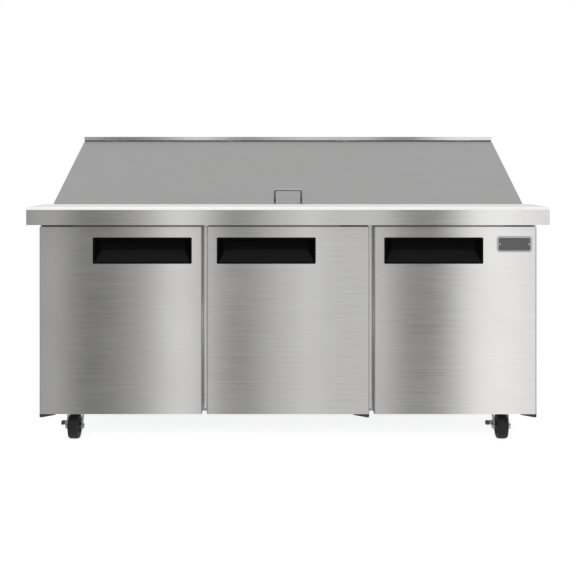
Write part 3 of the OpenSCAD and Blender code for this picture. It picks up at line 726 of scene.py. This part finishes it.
def striped_card():
    """A tall card behind the camera, whose soft stripes lie across the doors as reflections."""
    door_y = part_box("door_skin_middle")[0].y
    behind_camera = 1.5
    card_y = CAMERA_Y - behind_camera
    spread = 1 + (door_y - card_y) / (door_y - CAMERA_Y)
    # (place across the doors where the stripe is seen, brightness)
    stripes = [(-1.00, 0.36), (-0.90, 0.42), (-0.84, 0.72), (-0.78, 0.33), (-0.72, 0.15),
               (-0.60, 0.33), (-0.50, 0.55), (-0.41, 1.05), (-0.35, 1.06), (-0.29, 0.66),
               (-0.19, 0.24), (-0.13, 0.40), (-0.05, 0.67), (0.03, 0.75), (0.08, 1.02),
               (0.14, 0.70), (0.26, 0.75), (0.33, 0.84), (0.42, 0.31), (0.54, 0.24),
               (0.60, 0.68), (0.66, 1.20), (0.73, 1.34), (0.90, 1.05), (1.00, 1.00),
               (1.25, 0.48)]
    half, bottom, top = 6.0, -9.0, 3.6
    material = bpy.data.materials.new("front_card")
    material.use_nodes = True
    nodes = Nodes(material.node_tree)
    glow = nodes.add("ShaderNodeEmission")
    across = nodes.split(nodes.coords)["X"]
    seen = [(place * spread, level) for place, level in stripes]
    nodes.link(nodes.ramp(across, -half, half, seen), glow.inputs["Color"])
    nodes.link(glow.outputs[0], nodes.add("ShaderNodeOutputMaterial").inputs[0])
    card = rectangle("front_card", [(-half, card_y, bottom), (half, card_y, bottom),
                                    (half, card_y, top), (-half, card_y, top)], material)
    card.visible_camera = False
    card.visible_shadow = False


def area_light(name, place, aim, size, power):
    """A soft rectangular light that isn't seen in reflections."""
    data = bpy.data.lights.new(name, "AREA")
    data.shape = "RECTANGLE"
    data.size, data.size_y = size
    data.energy = power
    light = bpy.data.objects.new(name, data)
    light.location = place
    light.rotation_mode = "QUATERNION"
    light.rotation_quaternion = (Vector(aim) - Vector(place)).to_track_quat("-Z", "Y")
    light.visible_glossy = False
    bpy.context.scene.collection.objects.link(light)


def studio_floor():
    """A large pale floor that runs on into the white background."""
    half = 60.0
    s = Shader("studio_floor", Base_Color=(0.45, 0.45, 0.45, 1), Roughness=0.9,
               Emission_Color=(1, 1, 1, 1), Specular_IOR_Level=0.0)
    # It glows only where the camera sees it, so that it meets the white background
    glow = 0.80
    path = s.add("ShaderNodeLightPath").outputs["Is Camera Ray"]
    s.link(s.remap(path, 0.0, 1.0, 0.0, glow), s.bsdf.inputs["Emission Strength"])
    floor = rectangle("floor", [(-half, -half, 0), (half, -half, 0), (half, half, 0),
                                (-half, half, 0)], s.material)
    floor.visible_glossy = False


def white_world():
    """White where the camera sees it, and a soft grey room where it lights and reflects."""
    world = bpy.data.worlds.new("studio")
    bpy.context.scene.world = world
    world.use_nodes = True
    sky = Nodes(world.node_tree, "Generated")
    room = 0.58
    # Bands lie low at the sides and behind, for the metal that faces away from the camera
    x, y, z = (sky.split(sky.coords)[axis] for axis in "XYZ")
    side = sky.remap(sky.math("ABSOLUTE", x, 0), 0.55, 0.80)
    behind = sky.remap(y, 0.40, 0.70)
    low = sky.remap(z, 0.25, 0.55, 1.0, 0.0)
    place = sky.math("MULTIPLY", sky.math("MAXIMUM", side, behind), low)
    bands = sky.remap(sky.noise((3.4, 3.4, 0.7), detail=1.0), 0.35, 0.65, -0.35, 0.22)
    soft = sky.add("ShaderNodeBackground")
    soft.inputs["Color"].default_value = (0.98, 0.99, 1.0, 1.0)
    sky.link(sky.math("ADD", sky.math("MULTIPLY", place, bands), room), soft.inputs["Strength"])
    white = sky.add("ShaderNodeBackground")
    white.inputs["Color"].default_value = (1.0, 1.0, 1.0, 1.0)
    mix = sky.add("ShaderNodeMixShader")
    sky.link(sky.add("ShaderNodeLightPath").outputs["Is Camera Ray"], mix.inputs[0])
    sky.link(soft.outputs[0], mix.inputs[1])
    sky.link(white.outputs[0], mix.inputs[2])
    sky.link(mix.outputs[0], sky.add("ShaderNodeOutputWorld").inputs[0])


def level_camera():
    """A level camera square to the doors, shifted down to frame the object as in the photo."""
    data = bpy.data.cameras.new("camera")
    data.sensor_width = 36.0
    data.lens = 60.5
    data.shift_y = -0.2198
    camera = bpy.data.objects.new("camera", data)
    camera.location = (0.0, CAMERA_Y, CAMERA_Z)
    camera.rotation_euler = (math.pi / 2, 0.0, 0.0)
    bpy.context.scene.collection.objects.link(camera)
    bpy.context.scene.camera = camera


level_camera()
white_world()
studio_floor()
striped_card()
area_light("key", (-0.4, -4.2, 2.2), (0, -0.3, 0.7), (4.0, 2.0), 100.0)
area_light("top", (0.0, -0.2, 4.2), (0, -0.1, 0.8), (3.0, 3.0), 28.0)
area_light("left_fill", (-4.2, 0.2, 1.8), (0, 0, 0.6), (2.4, 2.4), 12.0)
area_light("right_fill", (4.2, 0.2, 1.8), (0, 0, 0.6), (2.4, 2.4), 12.0)
bpy.context.scene.view_settings.view_transform = "Standard"
bpy.context.scene.view_settings.look = "None"
